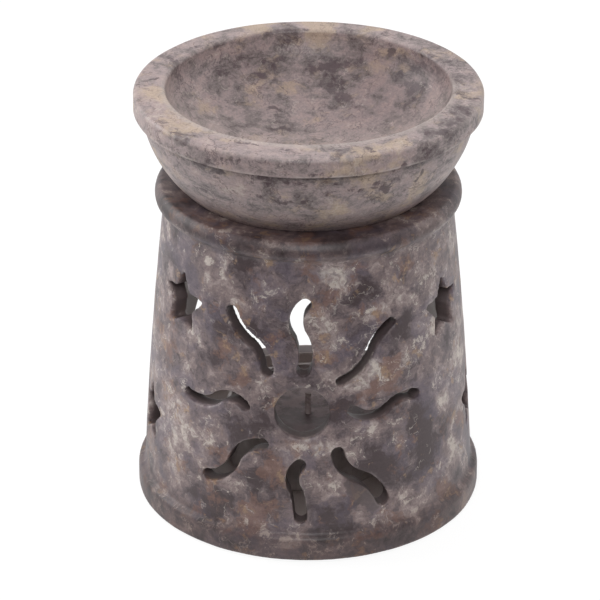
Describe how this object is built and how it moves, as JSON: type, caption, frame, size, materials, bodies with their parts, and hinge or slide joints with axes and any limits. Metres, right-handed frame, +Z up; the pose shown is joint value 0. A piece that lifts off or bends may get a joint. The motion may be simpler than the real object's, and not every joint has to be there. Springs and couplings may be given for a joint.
{
  "type": "essential oil burner",
  "caption": "Soapstone oil burner: a shallow bowl stands loose on a hollow tapered base pierced with a sun and stars, and a tealight inside warms the oil.",
  "frame": {"origin": "centre of the base's underside, on the table that it stands on", "axes": "+Z up along the turning axis, -Y out of the sun in the front wall, +Y out of the doorway in the back wall"},
  "size_m": [0.08, 0.08, 0.1],
  "materials": {
    "base_stone": "satin mottled soapstone",
    "bowl_stone": "satin veined soapstone",
    "cup_metal": "drawn foil, dulled by smoke",
    "wax": "dusky scented wax",
    "sustainer_metal": "tinned",
    "wick_cotton": "waxed cotton"
  },
  "bodies": {
    "base": {"burner_base": "base_stone"},
    "bowl": {"oil_bowl": "bowl_stone"},
    "tealight": {"tealight_cup": "cup_metal", "tealight_wax": "wax", "wick_sustainer": "sustainer_metal", "tealight_wick": "wick_cotton"}
  },
  "joints": [
    {"name": "bowl_lift", "type": "slide", "parent": "base", "child": "bowl", "axis": [0, 0, 1], "range_m": [0, 0.06]},
    {"name": "tealight_slide", "type": "slide", "parent": "base", "child": "tealight", "axis": [0, 0.8423, 0.5391], "range_m": [0, 0.075]}
  ]
}
